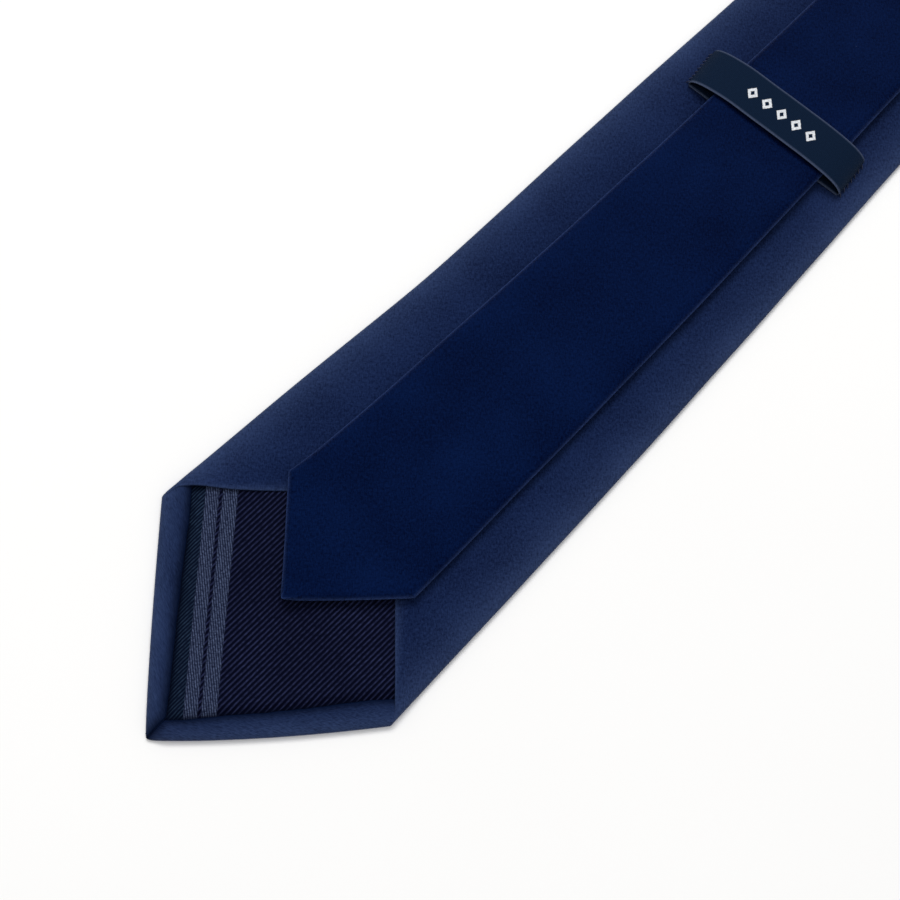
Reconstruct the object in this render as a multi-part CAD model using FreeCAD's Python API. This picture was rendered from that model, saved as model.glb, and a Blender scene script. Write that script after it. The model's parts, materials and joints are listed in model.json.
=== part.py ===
"""A men's necktie, folded once at the neck, with its tail through the keeper loop.

The tie lies on its front. +X runs from the wide tip to the neck fold, +Y across, +Z up.
Shapes are built with x = 0 at the wide tip, and moved at export so that the origin is the
centre of the box that holds the tie, at the level that it lies on.

"Run" is the distance along the unfolded tie from the wide tip. "Height" is the distance
from the front face of the cloth towards its back.
"""
import FreeCAD, Part
import math
import os

Vector = FreeCAD.Vector

# Widths of the blades, as half widths, and how they taper to the neck.
WIDE_HALF = 40.0
TAIL_HALF = 21.7
NECK_HALF = 16.5
WIDE_TIP_LENGTH = 44.0
TAIL_TIP_LENGTH = 23.5
WIDE_TAPER_RUN = 956.0
WIDE_TAPER_POWER = 1.444
TAIL_TAPER_RUN = 260.0
TAIL_TAPER_POWER = 1.075
TIP_BOW = 0.8

# The layers of a blade, as heights above its front face.
THICKNESS = 3.0
CLOTH = 0.5
LINING_TOP = 2.2
TIPPING_TOP = 2.5
HEM_TOP = 2.7
WIDE_HEM = 6.0
TAIL_HEM = 4.0
EDGE_WALL = 0.6
SIDE_ROOM = 1.6
PRESSED = 0.05
WIDE_TIPPING_END = 115.0
TAIL_TIPPING_END = 70.0

# The folded shape.
FOLD_START = 756.5
FOLD_RADIUS = 5.0
FOLD_DESCENT = 110.0
TAIL_BOTTOM = 4.3
TAIL_TIP_X = 45.5
TAIL_TILT_DEG = 0.35
FOLDED_LENGTH = FOLD_START + FOLD_RADIUS + THICKNESS / 2

# Where the tie bends and rolls, and the room left there.
WIDE_HINGE_X = 34.0
TAIL_HINGE_X = 185.0
HINGE_ROOM = 0.25
LOWER_END_X = 690.0
FOLD_LOWER_X = 695.4
FOLD_UPPER_X = 640.0
TAIL_END_X = 629.4

# The bias seams of the neck piece.
WIDE_SEAM_X = 600.0
TAIL_SEAM_X = 565.0
ALLOWANCE = 6.0
ALLOWANCE_THICKNESS = 0.25

# Thread.
THREAD_HALF = 0.3
GROOVE_HALF = 0.4
THREAD_THICKNESS = 0.25
GROOVE_DEPTH = 0.3
TACK_LENGTH = 9.0
TACK_WIDTH = 1.2
TACK_THICKNESS = 0.3
TACK_STRANDS = 3
TACK_SHARE = 0.8

# The keeper loop, a flat band sewn into a ring.
KEEPER_X = 234.0
KEEPER_WIDTH = 13.0
KEEPER_SKEW_DEG = 7.0
KEEPER_HALF = 25.8
KEEPER_BAND = 0.7
KEEPER_CROWN = 9.1
KEEPER_FOOT_Z = 4.4
KEEPER_FLATNESS = 4.0
KEEPER_STATIONS = 6
STITCH_COUNT = 7
STITCH_LENGTH = 1.5
STITCH_WIDTH = 0.5
STITCH_THICKNESS = 0.35
STITCH_MARGIN = 1.4

# The fibre label on the back of the tail.
LABEL_X = 128.0
LABEL_LENGTH = 26.0
LABEL_HALF = 8.0
LABEL_THICKNESS = 0.3

FAR = 100.0
OVERRUN = 1.0
STATION_STEP = 45.0
DESCENT_STEP = 15.0
BEND_STATIONS = 12
MIDDLE = THICKNESS / 2
TAIL_MIDDLE = TAIL_BOTTOM + MIDDLE
TAIL_TOP = TAIL_BOTTOM + THICKNESS
BEND_LENGTH = math.pi * FOLD_RADIUS
TOTAL_RUN = FOLD_START + BEND_LENGTH + FOLD_START - TAIL_TIP_X


def taper(distance, half, length, run, power):
    """Half width of a blade at a distance from its own tip, past its shoulders."""
    left = max(0.0, 1.0 - max(0.0, distance - length) / run)
    return NECK_HALF + (half - NECK_HALF) * left ** power


def wide_half(distance):
    return taper(distance, WIDE_HALF, WIDE_TIP_LENGTH, WIDE_TAPER_RUN, WIDE_TAPER_POWER)


def tail_half(distance):
    return taper(distance, TAIL_HALF, TAIL_TIP_LENGTH, TAIL_TAPER_RUN, TAIL_TAPER_POWER)


def half_width(run):
    return max(wide_half(run), tail_half(TOTAL_RUN - run))


def smooth(t):
    t = min(1.0, max(0.0, t))
    return t * t * (3 - 2 * t)


def upper_middle(x):
    """Middle height of the upper strand, which comes down from the fold to the tail."""
    top = MIDDLE + 2 * FOLD_RADIUS
    return top + (TAIL_MIDDLE - top) * smooth((FOLD_START - x) / FOLD_DESCENT)


def folded_place(run):
    """Middle of the cloth at a run along the tie, and how far it has turned there."""
    if run <= FOLD_START:
        return run, MIDDLE, 0.0
    if run >= FOLD_START + BEND_LENGTH:
        x = 2 * FOLD_START + BEND_LENGTH - run
        return x, upper_middle(x), math.pi
    turn = (run - FOLD_START) / FOLD_RADIUS
    x = FOLD_START + FOLD_RADIUS * math.sin(turn)
    return x, MIDDLE + FOLD_RADIUS * (1 - math.cos(turn)), turn


def flat_place(distance):
    return distance, MIDDLE, 0.0


def upper_run(x):
    """The run along the tie of a point of its upper strand."""
    return 2 * FOLD_START + BEND_LENGTH - x


def grid():
    """Runs where the folded tie gets a section."""
    runs = [STATION_STEP * i for i in range(1, int(FOLD_START / STATION_STEP) + 1)]
    runs += [FOLD_START + BEND_LENGTH * i / BEND_STATIONS for i in range(BEND_STATIONS + 1)]
    steps = int(FOLD_DESCENT / DESCENT_STEP)
    runs += [upper_run(FOLD_START - DESCENT_STEP * i) for i in range(1, steps + 1)]
    after = upper_run(FOLD_START - FOLD_DESCENT)
    runs += [after + STATION_STEP * i for i in range(int((TOTAL_RUN - after) / STATION_STEP))]
    return runs


def stations(start, end, extra=()):
    least_gap = OVERRUN / 2
    inner = [run for run in sorted(grid() + list(extra)) if start + least_gap < run < end - least_gap]
    return [start] + inner + [end]


def point(place, y, height):
    """A point of the cloth at a place along it, y across, at a height above its front."""
    x, z, turn = place
    rise = height - MIDDLE
    return Vector(x - rise * math.sin(turn), y, z + rise * math.cos(turn))


def round_section(place, half, low, high):
    """Flat oval between two heights, with half circles at its sides."""
    radius = (high - low) / 2
    flat = half - radius
    middle = low + radius
    right = Part.Arc(point(place, flat, low), point(place, half, middle), point(place, flat, high))
    left = Part.Arc(point(place, -flat, high), point(place, -half, middle), point(place, -flat, low))
    bottom = Part.LineSegment(point(place, -flat, low), point(place, flat, low))
    top = Part.LineSegment(point(place, flat, high), point(place, -flat, high))
    return Part.Wire([edge.toShape() for edge in (bottom, right, top, left)])


def square_section(place, half, low, high):
    corners = [(-half, low), (half, low), (half, high), (-half, high)]
    points = [point(place, y, height) for y, height in corners]
    return Part.makePolygon(points + points[:1])


def loft(sections):
    return Part.makeLoft(sections, True, True)


def tube(start, end, inset, halves, place_of):
    """The rolled blade from start to end, smaller all round by inset."""
    return loft([
        round_section(place_of(run), halves(run) - inset, inset, THICKNESS - inset)
        for run in stations(start, end)
    ])


def pressed_tube(start, end, halves, place_of):
    """The outside of a blade, with a truly flat front where it lies level."""
    sections = []
    for run in stations(start, end):
        place = place_of(run)
        low = -PRESSED if place[2] == 0 else 0
        sections.append(round_section(place, halves(run), low, THICKNESS))
    below = Part.makeBox(FOLDED_LENGTH + 2 * FAR, 2 * FAR, FAR, Vector(-FAR, -FAR, -FAR))
    return loft(sections).cut(below)


def ribbon(start, end, low, high, halves, place_of, extra=()):
    """A flat layer between two heights, whose half width is a function of the run."""
    return loft([
        square_section(place_of(run), halves(run), low, high)
        for run in stations(start, end, extra)
    ])


def groove(start, end, place_of):
    """Room for the slip stitch under the lap of the flaps."""
    top = TIPPING_TOP + GROOVE_DEPTH
    return ribbon(start, end, LINING_TOP, top, lambda run: GROOVE_HALF, place_of)


def slip_stitch(start, end, place_of):
    """The one long thread that closes the back of the tie."""
    low = TIPPING_TOP
    return ribbon(start, end, low, low + THREAD_THICKNESS, lambda run: THREAD_HALF, place_of)


def hollow_blade(start, end, halves, place_of):
    """The cloth of a blade between two runs: a flattened tube."""
    cavity = tube(start - OVERRUN, end + OVERRUN, CLOTH, halves, place_of)
    channel = groove(start - OVERRUN, end + OVERRUN, place_of)
    return pressed_tube(start, end, halves, place_of).cut(cavity).cut(channel).removeSplitter()


def prism(corners, low, high):
    """A plan outline between two levels."""
    points = [Vector(x, y, low) for x, y in corners]
    face = Part.Face(Part.makePolygon(points + points[:1]))
    return face.extrude(Vector(0, 0, high - low))


def slab(start, end):
    """All space between two values of x."""
    return Part.makeBox(end - start, 2 * FAR, 2 * FAR, Vector(start, -FAR, -FAR))


def bowed_tip(length, half, top):
    """The pointed end of a blade in plan, with edges that bow out slightly."""
    slope = math.hypot(length, half)
    out_x, out_y = -half / slope * TIP_BOW, length / slope * TIP_BOW
    tip = Vector(0, 0, 0)
    right = Vector(length, half, 0)
    left = Vector(length, -half, 0)
    edges = [
        Part.Arc(tip, Vector(length / 2 + out_x, half / 2 + out_y, 0), right),
        Part.LineSegment(right, left),
        Part.Arc(left, Vector(length / 2 + out_x, -half / 2 - out_y, 0), tip),
    ]
    face = Part.Face(Part.Wire([edge.toShape() for edge in edges]))
    return face.extrude(Vector(0, 0, top))


def inset_tip(length, half, inset):
    """Half width inside a blade's pointed end, inset from its edges, at a distance."""
    back = inset * math.hypot(length, half) / half
    return lambda distance: (distance - back) * half / length


def within(tip_halves, halves):
    """The narrower of a pointed end and of the room between the rolled edges."""
    return lambda distance: min(tip_halves(distance), halves(distance) - SIDE_ROOM)


def first_run(length, half, inset):
    """Distance from the tip at which an inset layer is about a millimetre wide."""
    return (inset * math.hypot(length, half) + length / 2) / half


def tip_shell(length, half, hem):
    """The cloth of the pointed end, with the hem turned in over its back."""
    wall = inset_tip(length, half, EDGE_WALL)
    hem_line = inset_tip(length, half, hem)
    inner = ribbon(first_run(length, half, EDGE_WALL), length + OVERRUN, CLOTH, LINING_TOP, wall, flat_place)
    window_top = HEM_TOP + OVERRUN
    window = ribbon(
        first_run(length, half, hem), length + OVERRUN, LINING_TOP, window_top, hem_line, flat_place)
    return bowed_tip(length, half, HEM_TOP).cut(inner).cut(window)


def open_flaps(shell, length, half):
    """Cuts the back away between the free edges of the two flaps."""
    reach = half + EDGE_WALL
    corners = [(length - EDGE_WALL, -reach), (length + half, 0), (length - EDGE_WALL, reach)]
    return shell.cut(prism(corners, TIPPING_TOP, THICKNESS + OVERRUN))


def blade_shell(length, half, hem, end, halves):
    """The cloth of a flat blade from its tip to a distance."""
    shell = open_flaps(hollow_blade(length, end, halves, flat_place), length, half)
    return shell.fuse(tip_shell(length, half, hem)).removeSplitter()


def blade_lining(length, half, end, halves):
    """The wool interlining, which fills a blade to its edges."""
    edge = within(inset_tip(length, half, EDGE_WALL + CLOTH), halves)
    start = first_run(length, half, EDGE_WALL + CLOTH)
    return ribbon(start, end, CLOTH, LINING_TOP, edge, flat_place, (length, length + SIDE_ROOM))


def blade_tipping(length, half, hem, end, halves):
    """The lining cloth that shows between the hem and the flaps."""
    edge = within(inset_tip(length, half, hem), halves)
    start = first_run(length, half, hem)
    meets_side = length + hem
    return ribbon(start, end, LINING_TOP, TIPPING_TOP, edge, flat_place, (length, meets_side))


def bar_tack(x):
    """Strands of thread that pin the flaps where they part, lying on the back."""
    pitch = TACK_WIDTH / TACK_STRANDS
    strands = []
    for i in range(TACK_STRANDS):
        corner = Vector(x + pitch * i, -TACK_LENGTH / 2, THICKNESS)
        strands.append(Part.makeBox(pitch * TACK_SHARE, TACK_LENGTH, TACK_THICKNESS, corner))
    return Part.makeCompound(strands)


def bias_side(x, turn):
    """All space on the neck side of a 45 degree seam that crosses the middle at x."""
    side = slab(0, FOLDED_LENGTH)
    side.rotate(Vector(0, 0, 0), Vector(0, 0, 1), turn)
    side.translate(Vector(x, 0, 0))
    return side


def seam_allowance(x, turn, low, high, half):
    """The two pressed-open edges inside a bias seam."""
    strip = prism([(-ALLOWANCE, -FAR), (ALLOWANCE, -FAR), (ALLOWANCE, FAR), (-ALLOWANCE, FAR)], low, high)
    strip.rotate(Vector(0, 0, 0), Vector(0, 0, 1), turn)
    strip.translate(Vector(x, 0, 0))
    room = Part.makeBox(2 * FAR, 2 * half, high - low, Vector(x - FAR, -half, low))
    return strip.common(room)


def keeper_outline(inset):
    """The band's section across the tie, smaller all round by inset, as a face."""
    floor = THICKNESS + inset
    half = KEEPER_HALF - inset
    foot_z = KEEPER_FOOT_Z - inset / 2
    rise = KEEPER_CROWN - inset - foot_z
    points = []
    for i in range(-KEEPER_STATIONS, KEEPER_STATIONS + 1):
        across = math.sin(math.pi / 2 * i / KEEPER_STATIONS)
        height = math.sqrt(1 - abs(across) ** KEEPER_FLATNESS)
        points.append(Vector(0, half * across, foot_z + rise * height))
    arch = Part.BSplineCurve()
    arch.interpolate(points)
    corners = [points[-1], Vector(0, half, floor), Vector(0, -half, floor), points[0]]
    lines = [Part.LineSegment(a, b) for a, b in zip(corners, corners[1:])]
    return Part.Face(Part.Wire([edge.toShape() for edge in [arch] + lines]))


def keeper_loop():
    """A band sewn into a flat ring that arches over the tail."""
    body = keeper_outline(0).extrude(Vector(KEEPER_WIDTH, 0, 0))
    hole = keeper_outline(KEEPER_BAND).extrude(Vector(KEEPER_WIDTH + 2 * OVERRUN, 0, 0))
    hole.translate(Vector(-OVERRUN, 0, 0))
    return skewed(body.cut(hole))


def skewed(shape):
    """Puts a shape that is centred on the band's middle where the keeper is sewn."""
    shape.translate(Vector(-KEEPER_WIDTH / 2, 0, 0))
    shape.rotate(Vector(0, 0, 0), Vector(0, 0, 1), KEEPER_SKEW_DEG)
    shape.translate(Vector(KEEPER_X, 0, 0))
    return shape


def keeper_stitches():
    """Stitches that hold the keeper's two ends to the back of the wide blade."""
    pitch = (KEEPER_WIDTH - 2 * STITCH_MARGIN) / (STITCH_COUNT - 1)
    stitches = []
    for side in (-1, 1):
        near = side * KEEPER_HALF
        far = near + side * STITCH_LENGTH
        for i in range(STITCH_COUNT):
            x = STITCH_MARGIN + pitch * i - STITCH_WIDTH / 2
            corner = Vector(x, min(near, far), THICKNESS)
            stitches.append(Part.makeBox(STITCH_WIDTH, STITCH_LENGTH, STITCH_THICKNESS, corner))
    return skewed(Part.makeCompound(stitches))


def on_tail(shape):
    """Turns a flat blade over, front up, lays it along the tail and tips its point down."""
    shape.rotate(Vector(0, 0, 0), Vector(1, 0, 0), 180)
    shape.translate(Vector(TAIL_TIP_X, 0, TAIL_TOP))
    shape.rotate(Vector(TAIL_HINGE_X, 0, TAIL_TOP), Vector(0, 1, 0), -TAIL_TILT_DEG)
    return shape


def wide_end():
    """The wide blade up to the neck piece, and its point, which bends up."""
    tip_side = slab(-FAR, WIDE_HINGE_X - HINGE_ROOM)
    main_side = slab(WIDE_HINGE_X + HINGE_ROOM, FOLDED_LENGTH + FAR)
    sizes = (WIDE_TIP_LENGTH, WIDE_HALF)
    shell = blade_shell(*sizes, WIDE_HEM, LOWER_END_X, wide_half)
    lining = blade_lining(*sizes, LOWER_END_X, wide_half)
    tipping = blade_tipping(*sizes, WIDE_HEM, WIDE_TIPPING_END, wide_half)
    neck_side = bias_side(WIDE_SEAM_X, 45)
    seam_z = LINING_TOP
    seam_half = wide_half(WIDE_SEAM_X) - 2 * SIDE_ROOM
    seam = seam_allowance(WIDE_SEAM_X, 45, seam_z, seam_z + ALLOWANCE_THICKNESS, seam_half)
    return {
        "wide_tip_shell": shell.common(tip_side),
        "wide_tip_interlining": lining.common(tip_side),
        "wide_tip_tipping": tipping.common(tip_side),
        "wide_shell": shell.common(main_side).cut(neck_side),
        "neck_lower_shell": shell.common(neck_side),
        "wide_interlining": lining.common(main_side),
        "wide_tipping": tipping.common(main_side),
        "wide_neck_seam": seam,
        "wide_slip_stitch": slip_stitch(WIDE_TIPPING_END, LOWER_END_X, flat_place),
        "wide_bar_tack": bar_tack(WIDE_TIP_LENGTH + WIDE_HALF),
    }


def neck_fold():
    """The neck piece round the fold, with its interlining and thread."""
    start, end = FOLD_LOWER_X, upper_run(FOLD_UPPER_X)
    lining_half = lambda run: half_width(run) - SIDE_ROOM
    return {
        "neck_fold_shell": hollow_blade(start, end, half_width, folded_place),
        "neck_fold_interlining": ribbon(start, end, CLOTH, LINING_TOP, lining_half, folded_place),
        "neck_fold_slip_stitch": slip_stitch(start, end, folded_place),
    }


def tail_strand():
    """The upper strand from the fold to where the tail's free end bends."""
    start, end = upper_run(TAIL_END_X), upper_run(TAIL_HINGE_X + HINGE_ROOM)
    lining_half = lambda run: half_width(run) - SIDE_ROOM
    shell = hollow_blade(start, end, half_width, folded_place)
    neck_side = bias_side(TAIL_SEAM_X, -45)
    seam_top = TAIL_TOP - LINING_TOP
    seam_half = NECK_HALF - 2 * SIDE_ROOM
    return {
        "neck_upper_shell": shell.common(neck_side),
        "tail_shell": shell.cut(neck_side),
        "tail_interlining": ribbon(start, end, CLOTH, LINING_TOP, lining_half, folded_place),
        "tail_neck_seam": seam_allowance(
            TAIL_SEAM_X, -45, seam_top - ALLOWANCE_THICKNESS, seam_top, seam_half),
        "tail_slip_stitch": slip_stitch(start, end, folded_place),
    }


def tail_end():
    """The free end of the tail past the keeper."""
    end = TAIL_HINGE_X - HINGE_ROOM - TAIL_TIP_X
    sizes = (TAIL_TIP_LENGTH, TAIL_HALF)
    label = Part.makeBox(
        LABEL_LENGTH, 2 * LABEL_HALF, LABEL_THICKNESS, Vector(LABEL_X - TAIL_TIP_X, -LABEL_HALF, THICKNESS))
    shapes = {
        "tail_tip_shell": blade_shell(*sizes, TAIL_HEM, end, tail_half),
        "tail_tip_interlining": blade_lining(*sizes, end, tail_half),
        "tail_tipping": blade_tipping(*sizes, TAIL_HEM, TAIL_TIPPING_END, tail_half),
        "tail_tip_slip_stitch": slip_stitch(TAIL_TIPPING_END, end, flat_place),
        "tail_bar_tack": bar_tack(TAIL_TIP_LENGTH + TAIL_HALF),
        "fibre_label": label,
    }
    return {node: on_tail(shape) for node, shape in shapes.items()}


def keeper():
    return {"keeper_loop": keeper_loop(), "keeper_stitches": keeper_stitches()}


os.makedirs("parts", exist_ok=True)
for make in (wide_end, neck_fold, tail_strand, tail_end, keeper):
    for node, shape in make().items():
        shape.translate(Vector(-FOLDED_LENGTH / 2, 0, 0))
        shape.exportStep("parts/" + node + ".step")
        print(node, shape.isValid(), len(shape.Solids), round(shape.Volume), "mm3")
print("unfolded length", round(TOTAL_RUN), "mm, folded", FOLDED_LENGTH, "mm")
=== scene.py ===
"""The looks of a folded necktie: satin cloth, tipping, keeper loop and thread round the CAD model.

Lengths are in millimetres and turn into metres only when a mesh is made. "Run" is the distance
along the unfolded tie from the wide tip, "height" the distance from the front of the cloth to
its back, and "round" the distance round the rolled cloth from the middle of its front.
"""
import json
import math

import bmesh
import bpy
import numpy as np
from mathutils import Matrix, Vector, noise


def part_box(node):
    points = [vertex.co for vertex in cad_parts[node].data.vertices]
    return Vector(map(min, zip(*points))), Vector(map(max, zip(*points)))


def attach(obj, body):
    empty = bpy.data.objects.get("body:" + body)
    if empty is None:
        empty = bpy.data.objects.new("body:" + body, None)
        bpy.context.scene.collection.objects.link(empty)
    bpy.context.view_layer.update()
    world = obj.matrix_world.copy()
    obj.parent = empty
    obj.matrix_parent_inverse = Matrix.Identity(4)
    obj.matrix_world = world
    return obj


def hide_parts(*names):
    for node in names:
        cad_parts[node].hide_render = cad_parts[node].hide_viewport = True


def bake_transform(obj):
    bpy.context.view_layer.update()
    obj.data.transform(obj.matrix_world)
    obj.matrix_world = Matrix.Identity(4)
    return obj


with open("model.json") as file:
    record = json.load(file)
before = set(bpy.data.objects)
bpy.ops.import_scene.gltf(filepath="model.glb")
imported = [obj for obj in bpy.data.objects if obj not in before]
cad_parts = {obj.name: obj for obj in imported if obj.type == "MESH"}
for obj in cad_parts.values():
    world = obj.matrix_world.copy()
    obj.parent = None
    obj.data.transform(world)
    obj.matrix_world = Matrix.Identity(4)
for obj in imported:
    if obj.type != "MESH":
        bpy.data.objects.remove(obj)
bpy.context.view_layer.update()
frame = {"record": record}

MM = 0.001


def cad_box(node):
    """Lowest and highest corner of a CAD node, in millimetres."""
    low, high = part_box(node)
    return np.array(low) / MM, np.array(high) / MM


def hinge_x(joint):
    return next(j["pos_m"][0] for j in frame["record"]["behaviour"]["joints"] if j["name"] == joint) / MM


# Places that the frame gives.
WIDE_TIP_X = cad_box("wide_tip_shell")[0][0]
TAIL_TIP_X = cad_box("tail_tip_shell")[0][0]
FOLD_END_X = cad_box("neck_fold_shell")[1][0]
FOLD_TOP = cad_box("neck_fold_shell")[1][2]
THICKNESS = cad_box("wide_shell")[1][2]
WIDE_HALF = cad_box("wide_shell")[1][1]
TAIL_HALF = cad_box("tail_tip_shell")[1][1]
TAIL_LOW = cad_box("tail_shell")[0][2]
KEEPER_LOW, KEEPER_HIGH = cad_box("keeper_loop")
LABEL_LOW, LABEL_HIGH = cad_box("fibre_label")
TAIL_HINGE_X = hinge_x("tail_tip_lift")

# The shape of the folded tie.
WIDE_TIP_LENGTH = 44.0
TAIL_TIP_LENGTH = 23.5
NECK_HALF = 16.5
WIDE_TAPER_RUN = 956.0
WIDE_TAPER_POWER = 1.444
TAIL_TAPER_RUN = 260.0
TAIL_TAPER_POWER = 1.075
FOLD_DESCENT = 110.0
TAIL_TILT = math.tan(math.radians(0.35))
MIDDLE = THICKNESS / 2
FOLD_RADIUS = (FOLD_TOP - THICKNESS) / 2
FOLD_START = FOLD_END_X - WIDE_TIP_X - FOLD_RADIUS - MIDDLE
BEND_LENGTH = math.pi * FOLD_RADIUS
FOLD_TOP_RUN = FOLD_START + BEND_LENGTH / 2


def run_above(from_tip):
    """Run of the layer above the fold, at a distance from the wide tip along the folded tie."""
    return 2 * FOLD_START + BEND_LENGTH - from_tip


TAIL_TIP_RUN = run_above(TAIL_TIP_X - WIDE_TIP_X)

# How far off a straight line the tie lies: on the wide blade, and on the tail.
WANDER = 4.45
WANDER_START = (100.0, 135.0)
WANDER_LENGTH = (260.0, 270.0)
WANDER_BACK = (380.0, 300.0)
POINT_SWAY = (0.55, -0.9)
SWAY_REACH = 8.0

# The outer cloth.
CLOTH = 0.3
COLUMN_COUNTS = {"under": 4, "rim": 5, "flap": 24, "roll": 9}
FRONT_COLUMNS = 8
ROLL = 2.2
CORNER_ROLL = 0.6
RIM = 0.33
LAP = 3.0
LAP_RISE = 0.26
LEVEL_DROP = 0.12
CORNER_PLACE = 9.0
WAIST_DEPTH = 1.1
WAIST_PLACE = 135.0
WAIST_REACH = 38.0
FLARE_REACH = 9.0
HEM_TOP = 2.5
HEM_SINK = 0.65
HEM_SLOPE = 3.6
POINT_SOFT = 0.7
PRESS_SEED = 1.7
SHARP_EDGE = math.radians(50.0)

# The bias seams, as a distance from each blade's tip.
WIDE_SEAM = 600.0
TAIL_SEAM = TAIL_TIP_RUN - run_above(565.0)
SEAM_LEAN = 0.7
SEAM_GROOVE = 0.3
LEAN_REACH = 110.0
ALLOWANCE = 8.0
ALLOWANCE_HEIGHT = 0.5

# Tipping and interlining.
TWILL_PITCH = 1.05
FINE_PITCH = 0.70
RIB_STEP = 0.175
RIB_HEIGHT = 0.13
STRIPE_TURN = math.radians(41.3)
STRIPES = ((8.4, 3.3), (12.6, 3.7))
FLOAT_TURN = math.radians(52.0)
FLOAT_PITCH = 0.58
CREASE_BACK = 4.0
CREASE_DEPTH = 0.3
TIPPING_LOW = 1.05
TIPPING_PUFF = 0.95
TUCKED = 1.0
LINING_LOW = 0.4
LINING_THIN = 0.6
LINING_HIGH = 1.8
LINING_BACK = 2.5
LINING_GAP = 0.3

# The keeper loop and its row of small lozenges.
KEEPER_WIDTH = 13.0
KEEPER_HALF = 25.8
KEEPER_THICK = 0.6
KEEPER_SKEW = math.radians(7.0)
KEEPER_MIDDLE = (KEEPER_LOW + KEEPER_HIGH) / 2
KEEPER_FOOT = 1.0
OVER_POINTS = 81
UNDER_POINTS = 41
BAND_POINTS = 44
MOTIF_COUNT = 5
MOTIF_PITCH = 4.9
MOTIF_HALF = (1.75, 2.1)

# Threads: the tack and the slip stitch's three lengths, as distances from the wide tip.
WIDE_TACK = 84.0
TACK_HALF = 4.5
SLIP_SPLIT = 690.0
TAIL_SLIP_START = 640.0
SLIP_GAP = 12.0
SLIP_TURN = 2 * math.pi / 12.0
LABEL_RISE = 0.34

# Where a piece bends between two bodies, as distances from the wide tip.
WIDE_BEND = ("wide_tip", "wide_blade", 20.0, 42.0)
TAIL_BEND = ("tail", "tail_tip", 196.0, 158.0)
LOWER_ROLL = ("wide_blade", "neck_fold", 612.0, 742.0)
UPPER_ROLL = ("neck_fold", "tail", 742.0, 585.0)

# The camera's eye, from the wide tip; its focal length is a share of the frame's width.
CAMERA_EYE = (-2.0, -45.0, 387.5)
CAMERA_FORWARD = (0.261, 0.110, -0.959)
CAMERA_UP = (0.666, 0.699, 0.261)
CAMERA_FOCUS = 1580.0 / 900.0


spread = np.linspace


def smooth(t):
    t = np.clip(t, 0.0, 1.0)
    return t * t * (3 - 2 * t)


def hill(value, middle, reach):
    """A smooth hump of height 1."""
    return np.exp(-((value - middle) / reach) ** 2)


def taper(distance, half, length, run, power):
    left = np.clip(1.0 - np.clip(distance - length, 0.0, None) / run, 0.0, 1.0)
    return NECK_HALF + (half - NECK_HALF) * left ** power


def half_width(run):
    wide = taper(run, WIDE_HALF, WIDE_TIP_LENGTH, WIDE_TAPER_RUN, WIDE_TAPER_POWER)
    tail = taper(TAIL_TIP_RUN - run, TAIL_HALF, TAIL_TIP_LENGTH, TAIL_TAPER_RUN, TAIL_TAPER_POWER)
    return np.maximum(wide, tail)


def waves(u, v, size, seed):
    """Smooth noise from -1 to 1 over two coordinates in millimetres."""
    u, v = np.broadcast_arrays(u, v)
    flat = [noise.noise(Vector((a / size, b / size, seed))) for a, b in zip(u.ravel(), v.ravel())]
    return np.array(flat).reshape(u.shape)


def place(run):
    """Middle of the cloth at a run along the folded tie, and how far it has turned."""
    run = np.asarray(run, float)
    turn = np.clip((run - FOLD_START) / FOLD_RADIUS, 0.0, math.pi)
    lower_x = np.minimum(run, FOLD_START)
    upper_x = np.minimum(run_above(run), FOLD_START)
    x = np.where(run <= FOLD_START, lower_x, upper_x) + FOLD_RADIUS * np.sin(turn)
    top = MIDDLE + 2 * FOLD_RADIUS
    tail_middle = TAIL_LOW + MIDDLE
    upper = top + (tail_middle - top) * smooth((FOLD_START - upper_x) / FOLD_DESCENT)
    hinge = TAIL_HINGE_X - WIDE_TIP_X
    upper = upper - TAIL_TILT * np.clip(hinge - upper_x, 0.0, None)
    bend = MIDDLE + FOLD_RADIUS * (1 - np.cos(turn))
    z = np.where(run >= FOLD_START + BEND_LENGTH, upper, bend)
    return x + WIDE_TIP_X, z, turn


def wander(run):
    """How far the tie lies off a straight line, as cloth laid down by hand does."""
    lower = np.minimum(run, FOLD_START)
    upper = np.clip(run_above(run), 0.0, FOLD_START)
    on_tail = np.asarray(run) > FOLD_TOP_RUN
    x = np.where(on_tail, upper, lower)

    def of(pair):
        return np.where(on_tail, pair[1], pair[0])

    rise = smooth((x - of(WANDER_START)) / of(WANDER_LENGTH))
    from_tip = np.clip(x - of((0.0, TAIL_TIP_X - WIDE_TIP_X)), 0.0, None)
    back = smooth((x - WANDER_BACK[0]) / WANDER_BACK[1])
    return WANDER * (rise - back) - of(POINT_SWAY) * np.exp(-from_tip / SWAY_REACH)


def to_row(run, y, height):
    """Points of the row frame, in millimetres, for points of the cloth."""
    x, z, turn = place(run)
    rise = height - MIDDLE
    return np.stack([x - rise * np.sin(turn), y + wander(run), z + rise * np.cos(turn)], -1)


# A distance from an edge that is far enough for the painted sheen and shade to have faded out.
FAR_FROM_EDGE = 60.0


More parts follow.
